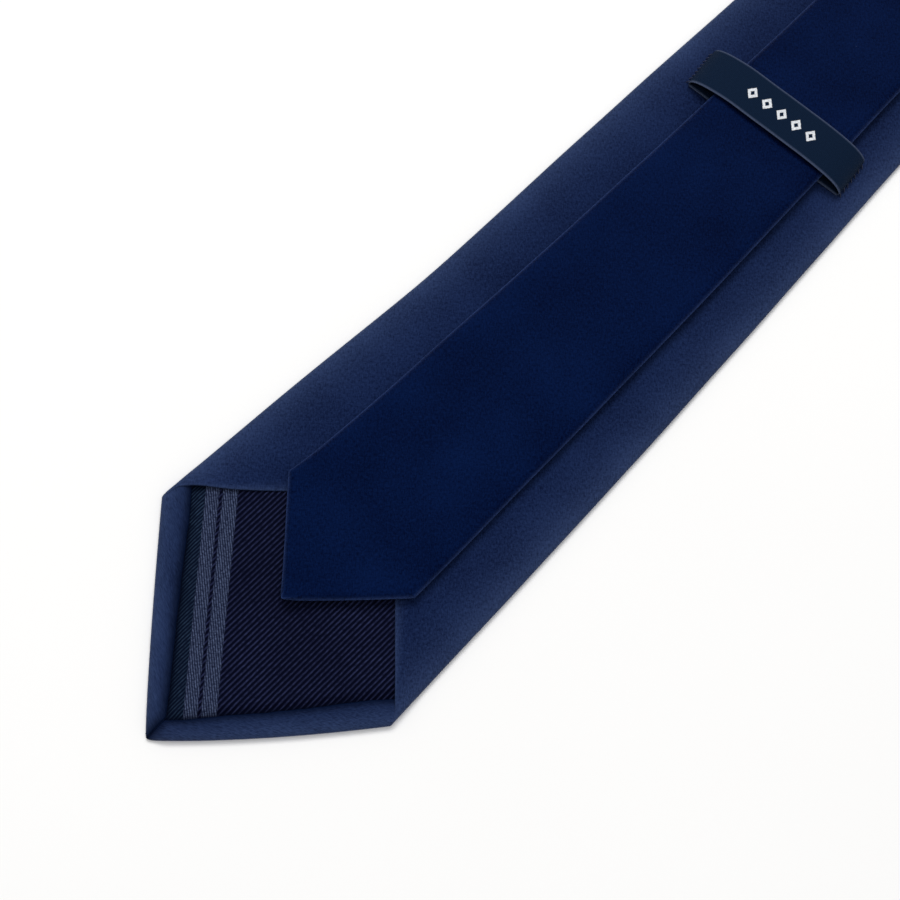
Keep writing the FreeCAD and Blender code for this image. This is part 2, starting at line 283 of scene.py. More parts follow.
class Cloth:
    """Grids of points that become one mesh, with their place on the flat cloth as UVs."""

    def __init__(self):
        self.points, self.flat, self.edge, self.faces, self.slots = [], [], [], [], []
        self.count = 0

    def add(self, points, u, v, slot=0, wrap=False, flip=False, edge=FAR_FROM_EDGE):
        rows, columns = points.shape[:2]
        index = np.arange(rows * columns).reshape(rows, columns) + self.count
        if wrap:
            index = np.concatenate([index, index[:, :1]], 1)
        a, b = index[:-1, :-1], index[:-1, 1:]
        c, d = index[1:, 1:], index[1:, :-1]
        quads = np.stack([a, b, c, d] if not flip else [a, d, c, b], -1).reshape(-1, 4)
        self.points.append(points.reshape(-1, 3))
        self.flat.append(np.stack([np.broadcast_to(c, (rows, columns)) for c in (u, v)], -1).reshape(-1, 2))
        self.edge.append(np.broadcast_to(edge, (rows, columns, 2)).reshape(-1, 2))
        self.faces.append(quads)
        self.slots.append(np.full(len(quads), slot))
        self.count += rows * columns

    def build(self, name, materials, thickness=0.0, weld=0.02):
        points = np.concatenate(self.points) * MM
        faces = np.concatenate(self.faces)
        mesh = bpy.data.meshes.new(name)
        mesh.from_pydata(points.tolist(), [], faces.tolist())
        flat = np.concatenate(self.flat)[faces.ravel()]
        weave = np.stack([flat[:, 0] + flat[:, 1], flat[:, 0] - flat[:, 1]], -1) / math.sqrt(2)
        # The edge layer holds distances from edges, which place the painted sheen and the painted groove
        # shade.
        edge = np.concatenate(self.edge)[faces.ravel()]
        for layer, values in (("flat", flat), ("weave", weave), ("edge", edge)):
            mesh.uv_layers.new(name=layer).data.foreach_set("uv", values.astype(np.float32).ravel())
        mesh.polygons.foreach_set("material_index", np.concatenate(self.slots).astype(np.int32))
        mesh.polygons.foreach_set("use_smooth", np.ones(len(faces), bool))
        for material in materials:
            mesh.materials.append(material)
        piece = new_object(name, mesh)
        if weld:
            joined = piece.modifiers.new("weld", "WELD")
            joined.merge_threshold = weld * MM
        if thickness:
            solid = piece.modifiers.new("cloth", "SOLIDIFY")
            solid.thickness = thickness * MM
            solid.offset = -1
        apply_modifiers(piece)
        piece.data.set_sharp_from_angle(angle=SHARP_EDGE)
        return piece


def new_object(name, data):
    made = bpy.data.objects.new(name, data)
    bpy.context.collection.objects.link(made)
    return made


def apply_modifiers(piece):
    bpy.context.view_layer.update()
    ready = piece.evaluated_get(bpy.context.evaluated_depsgraph_get())
    mesh = bpy.data.meshes.new_from_object(ready)
    piece.modifiers.clear()
    old = piece.data
    piece.data = mesh
    mesh.name = piece.name
    bpy.data.meshes.remove(old)


# ---- materials


class Shader:
    """A material under construction, with short calls for its nodes."""

    def __init__(self, name):
        self.material = bpy.data.materials.new(name)
        self.material.use_nodes = True
        self.tree = self.material.node_tree
        self.bsdf = self.tree.nodes["Principled BSDF"]

    def node(self, kind, values=(), **settings):
        made = self.tree.nodes.new("ShaderNode" + kind)
        for key, value in settings.items():
            setattr(made, key, value)
        for key, value in dict(values).items():
            self.put(made.inputs[key], value)
        return made

    def put(self, socket, value):
        if isinstance(value, bpy.types.NodeSocket):
            self.tree.links.new(value, socket)
        else:
            socket.default_value = value

    def flat(self, layer):
        return self.node("UVMap", uv_map=layer).outputs["UV"]

    def laid_out(self):
        """The place on the flat cloth, in millimetres, and its two coordinates."""
        flat = self.flat("flat")
        return flat, *self.axes(flat)

    def scaled(self, vector, x, y):
        return self.node("Mapping", {"Vector": vector, "Scale": (x, y, 1.0)}).outputs[0]

    def noise(self, vector, scale, detail=2.0, rough=0.5):
        values = {"Vector": vector, "Scale": scale, "Detail": detail, "Roughness": rough}
        return self.node("TexNoise", values).outputs["Fac"]

    def math(self, operation, a, b=0.0, c=0.0):
        return self.node("Math", {0: a, 1: b, 2: c}, operation=operation).outputs[0]

    def times(self, a, b):
        return self.math("MULTIPLY", a, b)

    def plus(self, a, b):
        return self.math("ADD", a, b)

    def ribs(self, place_of, turn):
        """Rounded ribs from 0 to 1, which turn by so many radians for each millimetre."""
        return self.math("MULTIPLY_ADD", self.math("COSINE", self.times(place_of, turn)), 0.5, 0.5)

    def ramp(self, value, low, high, start=0.0, end=1.0):
        made = self.node("MapRange", {
            "Value": value, "From Min": low, "From Max": high, "To Min": start, "To Max": end})
        made.clamp = True
        return made.outputs[0]

    def mix(self, factor, a, b):
        made = self.node("Mix", data_type="RGBA")
        self.put(made.inputs[0], factor)
        self.put(made.inputs[6], a)
        self.put(made.inputs[7], b)
        return made.outputs[2]

    def axes(self, vector):
        made = self.node("SeparateXYZ", {0: vector})
        return made.outputs[0], made.outputs[1]

    def bump(self, height, distance, strength=1.0, normal=None):
        values = {"Height": height, "Distance": distance * MM, "Strength": strength}
        if normal is not None:
            values["Normal"] = normal
        return self.node("Bump", values).outputs[0]

    def finish(self, color, normal, roughness, **constants):
        self.put(self.bsdf.inputs["Base Color"], color)
        self.put(self.bsdf.inputs["Normal"], normal)
        self.put(self.bsdf.inputs["Roughness"], roughness)
        for key, value in constants.items():
            self.bsdf.inputs[key.replace("_", " ")].default_value = value
        return self.material


def rgb(red, green, blue):
    """The linear colour of an sRGB one, whose channels go from 0 to 255."""
    def one(value):
        value /= 255.0
        return value / 12.92 if value <= 0.04045 else ((value + 0.055) / 1.055) ** 2.4
    return one(red), one(green), one(blue), 1.0


LINT = rgb(120, 128, 150)
# Painted shade for the sewn grooves, and how far it reaches on the satin and on the tipping.
PAINTED_GROOVE_SHADE = rgb(1, 4, 18)
SEWN_SHADE_REACH = 1.3
GROOVE_SHADE_REACH = 1.6


def satin(name, dark, light, pressed, sheen_share, sheen_reach):
    """Bias-cut satin: long warp floats, a soft mottle, flecks of lint, painted sheen near the rolled and free
    edges and painted shade along sewn edges.
    """
    s = Shader(name)
    weave = s.flat("weave")
    threads = s.noise(s.scaled(weave, 3.4, 0.9), 1.0, 2.0, 0.6)
    cross = s.noise(s.scaled(weave, 0.8, 2.6), 1.0, 1.0, 0.5)
    grain = s.noise(weave, 1.5, 3.0, 0.75)
    mottle = s.noise(weave, 0.05, 2.0, 0.5)
    value = s.math("MULTIPLY_ADD", threads, 0.62, s.times(cross, 0.22))
    value = s.plus(value, s.times(grain, 0.78))
    value = s.plus(value, s.times(s.math("SUBTRACT", mottle, 0.5), 0.35))
    speckle = s.ramp(value, 0.63, 1.01)
    color = s.mix(speckle, dark, light)
    edge, sewn = s.axes(s.flat("edge"))
    # Painted sheen: the pressed colour lightens the cloth near its rolled and free edges and fades with the
    # distance from them.
    painted_sheen = s.math("EXPONENT", s.times(edge, -1.0 / sheen_reach))
    painted_sheen = s.times(painted_sheen, s.math("MULTIPLY_ADD", speckle, 0.8, 0.6))
    color = s.mix(s.times(painted_sheen, sheen_share), color, pressed)
    # Painted shade along a sewn edge, where the groove lies in shadow.
    color = s.mix(s.math("EXPONENT", s.times(sewn, -1.0 / SEWN_SHADE_REACH)), color, PAINTED_GROOVE_SHADE)
    lint = s.node("TexVoronoi", {"Vector": weave, "Scale": 0.055}).outputs["Distance"]
    color = s.mix(s.ramp(lint, 0.006, 0.014, 1.0, 0.0), color, LINT)
    normal = s.bump(threads, 0.10, 0.55)
    normal = s.bump(grain, 0.12, 0.45, normal)
    normal = s.bump(mottle, 0.6, 0.4, normal)
    tangent = s.node("Tangent", direction_type="UV_MAP", uv_map="weave")
    s.put(s.bsdf.inputs["Tangent"], tangent.outputs[0])
    return s.finish(
        color, normal, s.ramp(grain, 0.3, 0.7, 0.45, 0.58), Anisotropic=0.35, Sheen_Weight=0.06,
        Sheen_Roughness=0.25, Sheen_Tint=(0.20, 0.34, 0.80, 1.0), Specular_IOR_Level=0.08,
        Specular_Tint=(0.08, 0.25, 1.0, 1.0))


def tipping_twill(name, stripes):
    """Near-black twill, with woven stripes that run along one edge of the point."""
    s = Shader(name)
    flat, along, across = s.laid_out()
    away = s.math("SUBTRACT", s.times(along, math.sin(STRIPE_TURN)),
                  s.times(across, math.cos(STRIPE_TURN)))
    outside = s.math("LESS_THAN", away, STRIPES[0][0]) if stripes else 0.0
    pitch = s.ramp(outside, 0.0, 1.0, 2 * math.pi / TWILL_PITCH, 2 * math.pi / FINE_PITCH)
    rib = s.ribs(across, pitch)
    broken = s.noise(s.scaled(flat, 0.9, 3.0), 1.0, 2.0, 0.6)
    uneven = s.noise(flat, 0.05, 2.0, 0.5)
    ridge = s.math("POWER", rib, 4.0)
    lit = s.times(ridge, s.ramp(broken, 0.32, 0.68, 0.25, 1.0))
    lit = s.times(lit, s.ramp(uneven, 0.3, 0.7, 0.6, 1.0))
    greener = s.mix(outside, rgb(44, 50, 84), rgb(42, 60, 82))
    ground = s.mix(outside, rgb(0, 0, 12), rgb(2, 8, 24))
    color = s.mix(lit, ground, greener)
    floats = s.plus(s.times(along, -math.sin(FLOAT_TURN)),
                    s.times(across, math.cos(FLOAT_TURN)))
    uneven_float = s.times(s.noise(flat, 0.6, 1.0), 0.25)
    thread = s.ribs(s.plus(floats, uneven_float), 2 * math.pi / FLOAT_PITCH)
    dash = s.noise(s.scaled(s.flat("weave"), 2.2, 1.0), 1.0, 2.0, 0.6)
    pale = s.times(thread, s.ramp(dash, 0.34, 0.66, 0.2, 1.0))
    pale_color = s.mix(pale, rgb(12, 17, 38), rgb(82, 94, 124))
    height = s.times(rib, 0.4)
    if stripes:
        mask = None
        for start, width in STRIPES:
            near = s.math("ABSOLUTE", s.math("SUBTRACT", away, start + width / 2))
            one = s.ramp(near, width / 2 - 0.12, width / 2 + 0.12, 1.0, 0.0)
            mask = one if mask is None else s.math("MAXIMUM", mask, one)
        color = s.mix(mask, color, pale_color)
        height = s.plus(s.times(mask, s.math("MULTIPLY_ADD", pale, 0.6, 0.5)), height)
    # Painted shade on the tipping beside the hem's sewn groove.
    inside, _ = s.axes(s.flat("edge"))
    color = s.mix(s.ramp(inside, 0.0, GROOVE_SHADE_REACH, 0.9, 0.0), color, PAINTED_GROOVE_SHADE)
    normal = s.bump(height, 0.10, 0.7)
    return s.finish(
        color, normal, 0.62, Sheen_Weight=0.01, Sheen_Roughness=0.5, Specular_IOR_Level=0.08,
        Specular_Tint=(0.3, 0.4, 1.0, 1.0))


def keeper_twill(name):
    """Dark woven band with pale selvedges and a short row of small lozenges."""
    s = Shader(name)
    flat, along, across = s.laid_out()
    rib = s.ribs(along, 2 * math.pi / 0.42)
    grain = s.noise(flat, 2.2, 3.0, 0.7)
    shade = s.math("MULTIPLY_ADD", grain, 0.7, s.times(rib, 0.2))
    body = s.mix(shade, rgb(4, 13, 27), rgb(17, 35, 60))
    edge = s.ramp(s.math("ABSOLUTE", across), KEEPER_WIDTH / 2 - 0.75, KEEPER_WIDTH / 2 - 0.15)
    color = s.mix(s.times(edge, s.ramp(grain, 0.3, 0.6, 0.5, 1.0)), body, rgb(70, 80, 104))
    middle = s.math("PINGPONG", s.plus(along, MOTIF_PITCH * (MOTIF_COUNT + 0.5)), MOTIF_PITCH / 2)
    near = s.math("SUBTRACT", MOTIF_PITCH / 2, middle)
    lozenge = s.plus(s.math("DIVIDE", near, MOTIF_HALF[0]),
                     s.math("DIVIDE", s.math("ABSOLUTE", across), MOTIF_HALF[1]))
    ragged = s.math("MULTIPLY_ADD", s.noise(flat, 2.0, 1.0), 0.16, -0.08)
    lozenge = s.plus(lozenge, ragged)
    mask = s.ramp(lozenge, 0.93, 1.03, 1.0, 0.0)
    core = s.ramp(lozenge, 0.36, 0.44, 0.0, 1.0)
    row_half = MOTIF_PITCH * MOTIF_COUNT / 2
    inside = s.ramp(s.math("ABSOLUTE", along), row_half - 0.05, row_half, 1.0, 0.0)
    mask = s.times(s.times(mask, core), inside)
    white = s.mix(s.ramp(grain, 0.35, 0.65), rgb(188, 194, 204), rgb(242, 244, 246))
    color = s.mix(mask, color, white)
    height = s.plus(s.times(rib, 0.25), s.times(grain, 0.5))
    height = s.plus(height, s.times(mask, 1.2))
    return s.finish(color, s.bump(height, 0.10, 0.8), 0.66, Sheen_Weight=0.01, Specular_IOR_Level=0.08,
                    Specular_Tint=(0.3, 0.5, 1.0, 1.0))


def thread_finish(name, dark, light):
    s = Shader(name)
    flat, along, across = s.laid_out()
    ply = s.ribs(s.plus(along, across), 2 * math.pi / 0.5)
    fuzz = s.noise(flat, 3.0, 2.0)
    color = s.mix(s.times(ply, s.ramp(fuzz, 0.3, 0.7, 0.5, 1.0)), dark, light)
    return s.finish(color, s.bump(ply, 0.05, 0.8), 0.5, Sheen_Weight=0.1)


def wool(name):
    s = Shader(name)
    flat = s.flat("flat")
    hairs = s.noise(s.scaled(flat, 0.6, 3.0), 1.0, 4.0, 0.7)
    clumps = s.noise(flat, 0.3, 3.0, 0.6)
    color = s.mix(s.math("MULTIPLY_ADD", hairs, 0.6, s.times(clumps, 0.4)),
                  rgb(176, 168, 152), rgb(236, 230, 218))
    return s.finish(color, s.bump(hairs, 0.25, 0.8), 0.9, Sheen_Weight=0.3)


def label_ribbon(name):
    s = Shader(name)
    flat, _, across = s.laid_out()
    warp = s.ribs(across, 2 * math.pi / 0.3)
    grain = s.noise(s.scaled(flat, 0.7, 4.0), 1.0, 2.0)
    shade = s.math("MULTIPLY_ADD", grain, 0.6, s.times(warp, 0.3))
    color = s.mix(shade, rgb(10, 16, 38), rgb(34, 42, 70))
    return s.finish(color, s.bump(warp, 0.04, 0.7), 0.42, Sheen_Weight=0.1)


def paper_floor(name):
    s = Shader(name)
    place_of = s.node("TexCoord").outputs["Object"]
    color = s.mix(s.noise(place_of, 6.0, 2.0), rgb(250, 250, 250), rgb(254, 254, 254))
    return s.finish(color, s.bump(s.noise(place_of, 300.0), 0.02, 0.1), 0.9)


# The pressed colours are painted sheen: a narrow bright rim along the front's rolled edges, and a broad
# lightening of the back towards its rolled edges. The back is a lighter, greyer copy of the same satin, which
# is also painted sheen.
SATIN_FRONT = satin("satin_front", rgb(1, 4, 28), rgb(6, 22, 60), rgb(62, 84, 140), 0.80, 0.22)
SATIN_BACK = satin("satin_back", rgb(6, 12, 38), rgb(24, 38, 74), rgb(62, 78, 114), 0.50, 4.8)
TIPPING_STRIPED = tipping_twill("tipping_striped", True)
TIPPING_PLAIN = tipping_twill("tipping_plain", False)
KEEPER_BAND = keeper_twill("keeper_band")
THREAD = thread_finish("navy_thread", rgb(8, 14, 38), rgb(38, 50, 84))
WOOL = wool("wool_interlining")
LABEL = label_ribbon("label_ribbon")


# ---- blades

class Blade:
    """One end of the tie: its point, its hem and how its flaps lie and lift.

    Values in pairs are for the left side, which is +Y, and for the right side.
    """

    hem_grows = opening = arch = ease = flare = (0.0, 0.0)

    def __init__(self, tip_run, direction, length, half, lift, seed, **sides):
        self.tip_run, self.direction = tip_run, direction
        self.length, self.half, self.lift, self.seed = length, half, lift, seed
        self.slant = math.cos(math.atan(half / length))
        self.__dict__.update(sides)

    def of(self, pair, side):
        return pair[0 if side > 0 else 1]

    def run(self, distance):
        return self.tip_run + self.direction * distance

    def slope(self, side):
        return self.half / self.of(self.shoulder, side)

    def half_at(self, distance, side):
        """Half width, which the hand-pressed edge follows only roughly."""
        past = smooth((distance - 50.0) / 20.0)
        dip = WAIST_DEPTH * hill(distance, WAIST_PLACE, WAIST_REACH) * max(side, 0) * past
        ease = self.of(self.ease, side)
        loose = 1 - smooth((distance - 400.0) / 150.0)
        uneven = 0.15 * waves(self.run(distance), side * 9.0, 26.0, PRESS_SEED)
        from_shoulder = np.clip(distance - self.length, 0.0, None)
        flare = self.of(self.flare, side) * np.exp(-from_shoulder / FLARE_REACH)
        return half_width(self.run(distance)) + ease * loose + flare - dip * (ease != 0) + uneven

    def edge(self, distance, side):
        """Half width of the pointed end, with its bowed edges and softened point."""
        share = np.clip(distance / self.length, 0.0, 1.0)
        round_off = np.sqrt((distance + POINT_SOFT) ** 2 - POINT_SOFT ** 2)
        round_off = round_off - POINT_SOFT * distance / (distance + 2.0)
        bow = self.of(self.bow, side) * share ** 0.6 * (1 - share)
        return self.slope(side) * round_off + bow

    def hem_back(self, distance, side):
        """How far the hem reaches in from the outer edge, measured across the blade."""
        grown = self.of(self.hem_grows, side) * np.clip(distance / self.length, 0, 1.2)
        width = self.of(self.hem, side) + grown
        return width * math.hypot(self.length, self.half) / self.length

    def hem_line(self, distance, side):
        wavy = 0.5 * waves(distance, side * 40.0, 9.0, self.seed + 3)
        wavy = wavy + 0.25 * waves(distance, side * 20.0, 2.6, self.seed + 4)
        return np.clip(self.edge(distance, side) - self.hem_back(distance, side) + wavy, 0.0, None)

    def flap_edge(self, distance, side):
        """Where a flap's free edge lies, away from its own side when it laps over."""
        past = distance - self.length
        line = self.half + self.of(self.opening, side) - past
        line = line + self.of(self.arch, side) * hill(past, 6.0, 4.0)
        return np.maximum(line, -LAP)


WIDE = Blade(
    0.0, 1, WIDE_TIP_LENGTH, WIDE_HALF, 0.8, 1.7, shoulder=(42.2, 44.0), bow=(1.3, 6.2),
    hem=(4.7, 5.0), hem_grows=(2.6, 1.5), opening=(1.4, 0.0), arch=(1.3, 0.0), ease=(0.5, -0.45))
TAIL = Blade(
    TAIL_TIP_RUN, -1, TAIL_TIP_LENGTH, TAIL_HALF, 0.25, 8.3, shoulder=(22.3, 23.5), bow=(0.8, 0.8),
    hem=(4.0, 4.0), flare=(1.1, 0.0))


def column_kinds():
    """The columns of a section in order: side, kind and place from 0 to 1 within the kind."""
    columns = []
    for side in (1, -1):
        part = []
        for kind, count in COLUMN_COUNTS.items():
            part += [(side, kind, t) for t in spread(0, 1, count + 1)[:-1]]
        part += [(side, "front", t) for t in spread(0, 1, FRONT_COLUMNS + 1)]
        columns.append(part)
    return columns[0] + columns[1][::-1][1:]


COLUMNS = column_kinds()


def section(blade, distance, free, top, tuck):
    """y, height and distance from the rolled edge of every column, one row for each distance.

    free(side) gives where the upper layer ends, and top(side, y) its height. tuck is 1 where its
    edge is turned under, and near 0 where it is sewn down.
    """
    rows = distance.shape[0]
    half = {side: np.minimum(blade.half_at(distance, side), np.where(
        distance < blade.length, blade.edge(distance, side), 1e9)) for side in (1, -1)}
    y = np.zeros((rows, len(COLUMNS)))
    height = np.zeros_like(y)
    edge = np.zeros_like(y)
    seam = np.zeros_like(y)
    pointed = distance < blade.length
    sewn = tuck < 1.0
    slant = blade.slant
    for i, (side, kind, t) in enumerate(COLUMNS):
        h = half[side]
        near_shoulder = 1 - smooth((distance - blade.length) / 12.0)
        roll = np.where(pointed, ROLL * 0.8 / slant, ROLL - (ROLL - CORNER_ROLL) * near_shoulder)
        roll = np.minimum(roll, h * 0.45)
        inner = h - roll
        end = np.minimum(free(side), inner)
        crest = top(side, inner)
        start = np.minimum(end + RIM * tuck, inner)
        if kind == "under":
            y_one = start + np.minimum(blade.hem[0], inner - start) * (1 - t) * tuck
            height_one = top(side, start) - 2 * RIM
        elif kind == "rim":
            angle = math.pi * (t - 0.5)
            y_one = start - RIM * math.cos(angle) * tuck
            height_one = top(side, start) + RIM * (math.sin(angle) - 1)
        elif kind == "flap":
            y_one = start + (inner - start) * t
            height_one = top(side, y_one)
        elif kind == "roll":
            angle = math.pi * (0.5 - t)
            y_one = inner + roll * math.cos(angle)
            height_one = crest / 2 * (1 + math.sin(angle))
        else:
            y_one = inner * (1 - t)
            height_one = np.zeros_like(inner)
        y[:, i] = side * y_one
        height[:, i] = height_one
        # Distances that place the painted sheen near the rolled and free edges, and the painted shade along a
        # sewn edge.
        from_fold = (h - y_one) * np.where(pointed, slant, 1.0)
        from_free = FAR_FROM_EDGE if sewn else 3 * (y_one - end) + 1.0
        edge[:, i] = from_fold if kind == "front" else np.minimum(from_fold, from_free)
        seam[:, i] = (y_one - end) * slant if sewn and kind != "front" else FAR_FROM_EDGE
    return y, height, np.stack([edge, seam], -1)


def around(y, height):
    """Distance round the cloth from the middle of its front, signed as y is there."""
    step = np.hypot(np.diff(y, axis=1), np.diff(height, axis=1))
    length = np.concatenate([np.zeros((y.shape[0], 1)), np.cumsum(step, 1)], 1)
    middle = int(np.argmax([kind == "front" and t == 1 for _, kind, t in COLUMNS]))
    return length[:, middle:middle + 1] - length


def soft_top(blade, distance, side, y):
    """Height of the flaps: level, with dimples and the lap in the middle."""
    run = blade.run(distance)
    broad = 0.22 * waves(run, side * y, 34.0, PRESS_SEED)
    dimples = broad + 0.10 * waves(run, side * y, 13.0, PRESS_SEED + 1)
    fade = smooth((half_width(run) - np.abs(y)) / 6.0)
    calm = 0.3 + 0.7 * smooth((np.abs(y) - 8.0) / 12.0)
    top = THICKNESS - LEVEL_DROP + dimples * calm * fade - 0.25 * (1 - fade) ** 2
    over = smooth((LAP * 2 - y) / (LAP * 1.6)) * (LAP_RISE if side > 0 else -LAP_RISE * 0.6)
    return top + over


def lifted_corner(blade, distance, side, y):
    """How far a flap's free corner stands up where the two flaps part."""
    near_edge = smooth((blade.flap_edge(distance, side) + CORNER_PLACE - y) / CORNER_PLACE)
    return blade.lift * hill(distance - blade.length, CORNER_PLACE, 6.5) * near_edge


def seam_rows(seam, far):
    """Distances from a bias seam to a far end, close together at the seam."""
    step = math.copysign(1.0, far - seam)
    near = seam + step * np.array([0.0, 0.5, 1.0, 1.6, 2.4, 3.6])
    rest = np.linspace(near[-1] + step * 2.5, far, int(abs(far - seam) / 3.0))
    return np.sort(np.concatenate([near, rest]))


def flap_rows(blade, seam):
    """Distances from the shoulders to the seam, close together where the flaps open."""
    near = np.arange(blade.length, blade.length + blade.half + LAP + 4, 1.0)
    return np.concatenate([near, seam_rows(seam, near[-1] + 2.0)])


def rolled_cloth(cloth, blade, distance, seam):
    """The front, the rolled edges and both flaps, with the bias seam that the cloth meets."""
    def top(side, y):
        return soft_top(blade, distance, side, y) + lifted_corner(blade, distance, side, y)

    y, height, edge = section(blade, distance, lambda side: blade.flap_edge(distance, side), top, 1.0)
    round_it = around(y, height)
    lean = SEAM_LEAN * smooth((LEAN_REACH - np.abs(distance - seam)) / LEAN_REACH)
    groove = SEAM_GROOVE * hill(distance, seam, 1.1)
    height = MIDDLE + (height - MIDDLE) * (1 - groove / MIDDLE)[:, None]
    y = y * (1 - groove / NECK_HALF)[:, None]
    add_grid(cloth, blade, distance[:, None] + lean[:, None] * round_it, y, height, round_it, edge)


def add_grid(cloth, blade, distance, y, height, round_it, edge):
    run = blade.run(distance)
    points = to_row(run, y, height)
    first = 0
    for slot, last in face_slots():
        part = slice(first, last + 1)
        cloth.add(points[:, part], run[:, part], round_it[:, part], slot, flip=blade.direction > 0,
                  edge=edge[:, part])
        first = last


def face_slots():
    """(material slot, last column) of the stretches of a section: back, front, back."""
    kinds = [kind for _, kind, _ in COLUMNS]
    first = kinds.index("roll") + COLUMN_COUNTS["roll"] // 2
    last = len(kinds) - 1 - first
    return ((1, first), (0, last), (1, len(kinds) - 1))


def hem_height(blade, distance, side, y, line, out):
    """Height of the hem, from the groove at its inner edge to the rolled outer edge."""
    share = np.clip((y - line) / np.maximum(out - line, 0.3), 0.0, 1.0)
    puff = 0.20 * np.sin(math.pi * share) + 0.06 * waves(distance, side * y, 7.0, blade.seed + 5)
    sink = HEM_SINK * (1 - smooth((y - line) / HEM_SLOPE)) ** 2
    return (HEM_TOP + puff - sink) * (0.55 + 0.45 * smooth(distance / 3.0))


def pointed_cloth(cloth, blade):
    """The point of a blade: its front, rolled edges and the hem on its back."""
    near = [0.02, 0.25, 0.6, 1.0, 1.5]
    distance = np.concatenate([near, np.arange(2.0, blade.length, 0.75), [blade.length]])

    def hem_top(side, y):
        out = np.minimum(blade.edge(distance, side), blade.half)
        return hem_height(blade, distance, side, y, blade.hem_line(distance, side), out)

    y, height, edge = section(blade, distance, lambda side: blade.hem_line(distance, side), hem_top, 0.1)
    grid = np.repeat(distance[:, None], y.shape[1], 1)
    add_grid(cloth, blade, grid, y, height, around(y, height), edge)
    hem_under_flap(cloth, blade)


def hem_under_flap(cloth, blade):
    """The ends of the hem, which run on under the flaps."""
    share = spread(0, 1, 16)
    for side in (1, -1):
        reach = blade.hem_back(blade.length, side)
        distance = spread(blade.length, blade.length + reach, 12)
        shift = (distance - blade.length) * blade.slope(side)
        line = blade.hem_line(blade.length, side) + shift
        out = blade.half + shift
        stop = blade.half_at(distance, side) - CORNER_ROLL
        line = np.minimum(line, stop - 0.1)
        y = line[:, None] + (stop - line)[:, None] * share[None]
        height = hem_height(blade, distance[:, None], side, y, line[:, None], out[:, None])
        facing = (blade.direction > 0) == (side > 0)
        run = blade.run(distance[:, None])
        # Distances for the painted sheen near the outer edge and for the painted shade along the hem's
        # groove.
        edge = np.stack([out[:, None] - y, y - line[:, None]], -1) * blade.slant
        unfolded = side * (2 * out[:, None] - y)
        cloth.add(to_row(run, side * y, height), run, unfolded, 1, flip=facing, edge=edge)


def rib_phase(distance, y, striped):
    """Turns of the twill's ribs, which are finer outside the stripes."""
    away = distance * math.sin(STRIPE_TURN) - y * math.cos(STRIPE_TURN)
    return np.where((away < STRIPES[0][0]) & striped, y / FINE_PITCH, y / TWILL_PITCH)


def tipping(blade, name, material, end, striped):
    """The lining between the hem and the flaps, ribbed along the tie."""
    cloth = Cloth()
    shown = np.arange(0.5, blade.length + 12.0, 1.25)
    rows = np.concatenate([shown, np.arange(blade.length + 14.0, end, 4.0)])
    count = int(blade.half / RIB_STEP) * 2 + 1
    y = (spread(-1, 1, count) * blade.half)[None]
    side = np.where(y >= 0, 1.0, -1.0)
    distance = rows[:, None]
    room = np.where(side > 0, tipping_room(blade, rows, 1), tipping_room(blade, rows, -1)) + TUCKED
    inside = np.clip(room - np.abs(y), 0.0, None)
    y = side * np.minimum(np.abs(y), room)
    rib = 0.5 + 0.5 * np.cos(2 * math.pi * rib_phase(distance, y, striped))
    puff = smooth((inside - TUCKED) / 3.0)
    past = distance > blade.length
    under = smooth((np.abs(y) - blade.flap_edge(distance, 1) + 1.0) / 3.0)
    height = TIPPING_LOW + TIPPING_PUFF * puff + RIB_HEIGHT * rib * puff
    height = height + 0.10 * waves(distance, y, 12.0, blade.seed + 9) * puff - 0.12 * under * past
    height = height - 0.25 * smooth((TUCKED - inside) / TUCKED)
    crease = distance + y - (blade.length + blade.half + blade.opening[0] - CREASE_BACK)
    height = height - CREASE_DEPTH * hill(crease, 0.0, 0.8) * smooth(y / 12.0) * puff * striped
    run = blade.run(distance)
    # Distance from the hem's groove, for the painted shade beside it.
    showing = np.where(past, FAR_FROM_EDGE, inside - TUCKED)
    cloth.add(to_row(run, y, height), run if blade.direction > 0 else distance, y, flip=blade.direction < 0,
              edge=np.stack([showing, showing], -1))
    return cloth.build(name, [material], thickness=0.2, weld=0.005)


def tipping_room(blade, distance, side):
    """How far out the tipping shows or lies under a flap, one value for each row."""
    shoulder = np.minimum(distance, blade.length)
    line = blade.hem_line(shoulder, side) + (distance - shoulder) * blade.slope(side)
    return np.minimum(line, blade.half_at(distance, side) - ROLL - 1.6)[:, None]


def slab(name, blade, runs):
    """A plain layer inside the cloth, which follows the fold and is thin at the point."""
    distance = (runs - blade.tip_run) * blade.direction
    pointed = np.clip((distance - 1.6) * blade.half / blade.length, 0.3, None)
    half = np.minimum(pointed, half_width(runs) - ROLL - 0.5)
    high = LINING_THIN + (LINING_HIGH - LINING_THIN) * smooth((distance - blade.length - 30.0) / 40.0)
    lower = [(share, 0) for share in (-1, -0.5, 0, 0.5, 1)]
    upper = [(share, 1) for share in (1, 0.5, 0, -0.5, -1)]
    ring = lower + [(1, 0.5)] + upper + [(-1, 0.5)]
    y = np.stack([half * share for share, _ in ring], 1)
    height = np.stack([LINING_LOW + (high - LINING_LOW) * level for _, level in ring], 1)
    run = runs[:, None]
    height = height + 0.04 * waves(run, y, 5.0, 3.0)
    cloth = Cloth()
    cloth.add(to_row(run, y, height), run, y, wrap=True)
    piece = cloth.build(name, [WOOL], weld=0)
    close_ends(piece, len(ring))
    return piece


def close_ends(piece, count):
    """Caps the two open ends of a tube whose rings have count points each."""
    shape = bmesh.new()
    shape.from_mesh(piece.data)
    bmesh.ops.holes_fill(shape, edges=[e for e in shape.edges if e.is_boundary], sides=count + 1)
    bmesh.ops.recalc_face_normals(shape, faces=shape.faces)
    shape.to_mesh(piece.data)
    shape.free()


